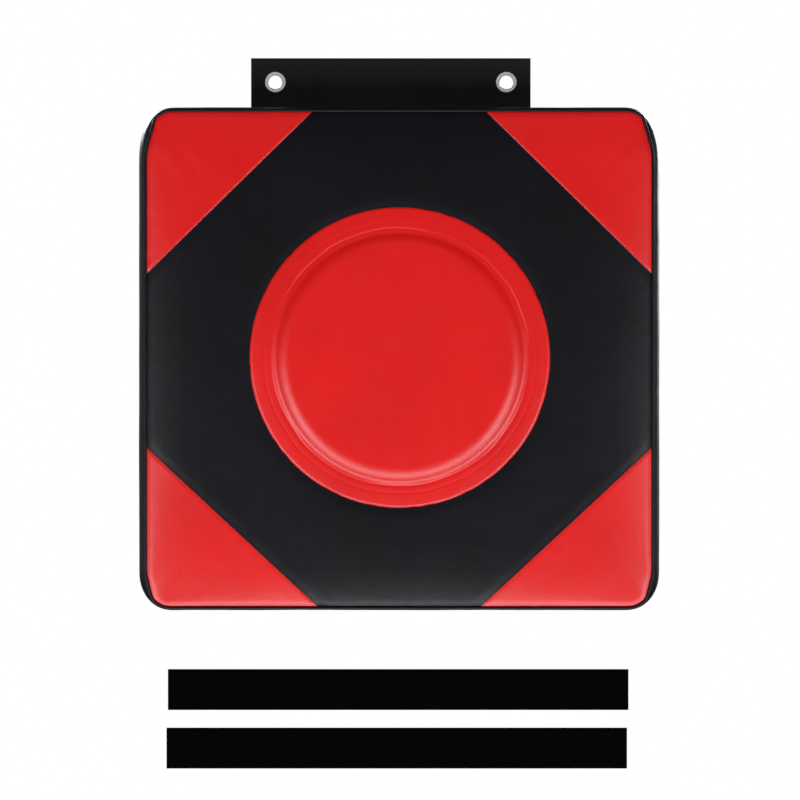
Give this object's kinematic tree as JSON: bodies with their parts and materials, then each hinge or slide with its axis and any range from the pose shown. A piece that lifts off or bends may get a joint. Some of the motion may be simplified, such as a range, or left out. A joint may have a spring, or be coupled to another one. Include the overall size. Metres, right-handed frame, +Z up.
{
  "type": "wall punch pad",
  "caption": "Square foam punch pad in a sewn leather cover with a raised round target, hung on a wall by an eyelet flap, with adhesive hook strips.",
  "frame": {"origin": "on the wall plane, on the rear face of the hanger flap, midway between its two eyelets", "axes": "+Z up, +Y into the wall, -Y the way the pad faces, +X to the right seen from the front"},
  "size_m": [0.4, 0.061, 0.549],
  "materials": {
    "red_leather": "smooth red PU leather, soft sheen",
    "black_leather": "smooth black PU leather, soft sheen",
    "flap_leather": "matte black coated fabric",
    "nickel": "polished nickel plate",
    "sponge": "open-cell foam",
    "firm_foam": "closed-cell foam sheet",
    "hook_tape": "black nylon hook tape",
    "loop_tape": "black nylon loop tape",
    "adhesive": "translucent adhesive film",
    "zip_tape": "black woven tape",
    "zip_coil": "black nylon coil"
  },
  "bodies": {
    "hanger": {"eyelet_left": "nickel", "eyelet_right": "nickel", "eyelet_washer_left": "nickel", "eyelet_washer_right": "nickel", "hanger_flap_front_layer": "flap_leather", "hanger_flap_rear_layer": "flap_leather"},
    "pad": {"back_panel_lower": "black_leather", "back_panel_upper": "black_leather", "corner_panel_bottom_left": "red_leather", "corner_panel_bottom_right": "red_leather", "corner_panel_top_left": "red_leather", "corner_panel_top_right": "red_leather", "foam_base_layer": "firm_foam", "foam_core": "sponge", "foam_front_layer": "sponge", "front_piping": "black_leather", "gusset": "black_leather", "loop_strip_lower": "loop_tape", "loop_strip_upper": "loop_tape", "octagon_panel": "black_leather", "rear_piping": "black_leather", "sewn_tab_front_layer": "flap_leather", "sewn_tab_rear_layer": "flap_leather", "target_cover": "red_leather", "target_foam": "sponge", "zip_coil_lower": "zip_coil", "zip_coil_upper": "zip_coil", "zip_tape_lower": "zip_tape", "zip_tape_upper": "zip_tape"},
    "zip_slider": {"zip_slider": "nickel"},
    "zip_pull": {"zip_pull_tab": "nickel"},
    "hook_strip_upper": {"hook_strip_upper": "hook_tape", "adhesive_backing_upper": "adhesive"},
    "hook_strip_lower": {"hook_strip_lower": "hook_tape", "adhesive_backing_lower": "adhesive"}
  },
  "joints": [
    {"name": "pad_swing", "type": "hinge", "parent": "hanger", "child": "pad", "pos_m": [0, -0.00185, -0.0205], "axis": [-1, 0, 0], "range_deg": [0, 80]},
    {"name": "zip_slide", "type": "slide", "parent": "pad", "child": "zip_slider", "axis": [-1, 0, 0], "range_m": [0, 0.33]},
    {"name": "zip_pull_flip", "type": "hinge", "parent": "zip_slider", "child": "zip_pull", "pos_m": [0.1693, -0.00215, -0.3585], "axis": [0, 0, -1], "range_deg": [0, 170]},
    {"name": "hook_strip_upper_peel", "type": "slide", "parent": "hanger", "child": "hook_strip_upper", "axis": [0, -1, 0], "range_m": [0, 0.06]},
    {"name": "hook_strip_lower_peel", "type": "slide", "parent": "hanger", "child": "hook_strip_lower", "axis": [0, -1, 0], "range_m": [0, 0.06]}
  ]
}
